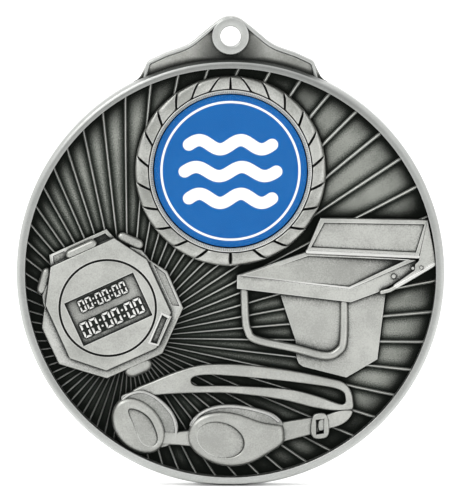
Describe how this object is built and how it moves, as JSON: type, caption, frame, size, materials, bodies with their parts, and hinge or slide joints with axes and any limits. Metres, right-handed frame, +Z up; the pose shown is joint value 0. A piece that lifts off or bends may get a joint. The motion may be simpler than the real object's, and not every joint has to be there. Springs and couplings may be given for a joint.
{
  "type": "sports medal",
  "caption": "Round cast medal with a raised rim, a ribbon hanger, a rayed field, a printed centre in a leaf-cut collar, and raised stopwatch, starting block and goggles.",
  "frame": {"origin": "centre of the ribbon hole, on the back plane", "axes": "+Z up, from the disc to the hanger; -Y out of the face; +X to the right as seen from the front"},
  "size_m": [0.07, 0.005, 0.077],
  "materials": {
    "field_metal": "blackened antique silver on cast zinc, finely brushed",
    "rim_metal": "antique silver, polished back to a soft shine",
    "hanger_metal": "antique silver, brushed and darkened in the corners",
    "relief_metal": "antique silver, satin, with dark patina in the recesses",
    "adhesive": "adhesive foam film",
    "printed_blue": "printed aluminium foil disc, plain blue with white line art",
    "clear_film": "clear protective film"
  },
  "bodies": {
    "root": {"field_disc": "field_metal", "rim": "rim_metal", "rays": "field_metal", "hanger_plate": "hanger_metal", "hanger_edge": "rim_metal", "eyelet": "rim_metal", "collar_bead_ring": "relief_metal", "collar_leaf_ring": "relief_metal", "insert_pad": "adhesive", "insert_disc": "printed_blue", "insert_film": "clear_film", "watch_back_case": "relief_metal", "watch_front_case": "relief_metal", "watch_digits": "relief_metal", "watch_bracket": "relief_metal", "watch_top_button": "relief_metal", "watch_left_button": "relief_metal", "watch_right_button": "relief_metal", "watch_lower_button": "relief_metal", "block_pedestal": "relief_metal", "block_platform": "relief_metal", "block_tread": "relief_metal", "block_footrest_frame": "relief_metal", "block_footrest_panel": "relief_metal", "block_side_plate": "relief_metal", "block_handrail": "relief_metal", "block_bolts": "relief_metal", "goggle_left_gasket": "relief_metal", "goggle_left_cup": "relief_metal", "goggle_left_lens": "relief_metal", "goggle_bridge": "relief_metal", "goggle_right_gasket": "relief_metal", "goggle_right_cup": "relief_metal", "goggle_right_lens": "relief_metal", "goggle_strap": "relief_metal", "goggle_side_strap": "relief_metal", "goggle_buckle": "relief_metal", "goggle_strap_tail": "relief_metal"}
  },
  "joints": []
}
